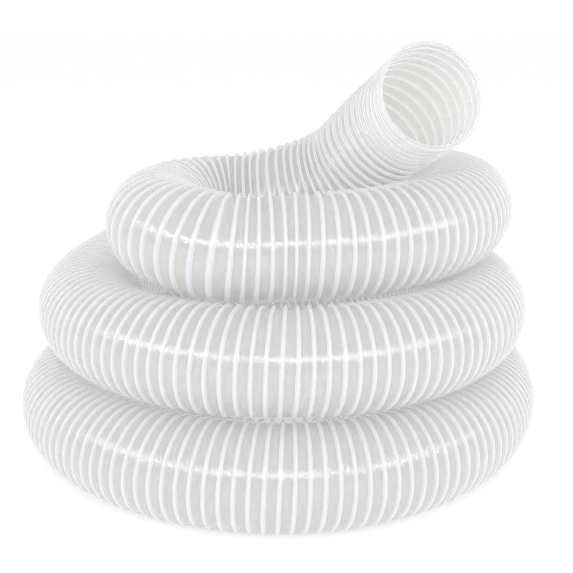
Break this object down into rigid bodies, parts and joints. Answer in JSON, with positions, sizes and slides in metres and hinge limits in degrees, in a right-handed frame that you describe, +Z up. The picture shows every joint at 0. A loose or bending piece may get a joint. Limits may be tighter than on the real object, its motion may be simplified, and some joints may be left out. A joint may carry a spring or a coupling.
{
  "type": "vacuum hose",
  "caption": "Clear ribbed vacuum hose lying in stacked laps, with a translucent wall, a white helical bead, plain cut ends and a free end raised over the coil.",
  "frame": {"origin": "on the floor, under the middle of the whole hose's footprint", "axes": "+Z up, the front of the coil towards -Y, the open mouth at the upper right, towards +X and -Y"},
  "size_m": [0.443, 0.4784, 0.3353],
  "materials": {
    "film": "glossy translucent soft PVC, slightly grey-white",
    "bead": "smooth semi-gloss rigid white PVC"
  },
  "bodies": {
    "coil": {"hose_lap_1": "film", "hose_lap_2": "film", "hose_lap_3": "film", "film_floor_bend": "film", "bead_floor_bend": "bead", "film_return_bend": "film", "bead_return_bend": "bead", "film_neck_bend": "film", "bead_neck_bend": "bead"},
    "floor_end": {"film_floor_end": "film", "bead_floor_end": "bead"},
    "neck": {"film_neck": "film", "bead_neck": "bead", "film_mouth_bend": "film", "bead_mouth_bend": "bead"},
    "mouth": {"film_mouth": "film", "bead_mouth": "bead"}
  },
  "joints": [
    {"name": "floor_end_turn", "type": "hinge", "parent": "coil", "child": "floor_end", "pos_m": [0.13406, 0.14877, 0.03893], "axis": [0, 0, -1], "range_deg": [0, 25], "stiffness_Nm_per_rad": 0.5, "deforming": ["film_floor_bend", "bead_floor_bend"]},
    {"name": "neck_lift", "type": "hinge", "parent": "coil", "child": "neck", "pos_m": [-0.03486, -0.02987, 0.20469], "axis": [0.0185, -0.9998, 0], "range_deg": [0, 30], "stiffness_Nm_per_rad": 0.5, "deforming": ["film_neck_bend", "bead_neck_bend"]},
    {"name": "mouth_turn", "type": "hinge", "parent": "neck", "child": "mouth", "pos_m": [0.06597, -0.05591, 0.24648], "axis": [-0.5268, 0.4359, 0.7297], "range_deg": [-20, 20], "stiffness_Nm_per_rad": 0.4, "deforming": ["film_mouth_bend", "bead_mouth_bend"]}
  ]
}
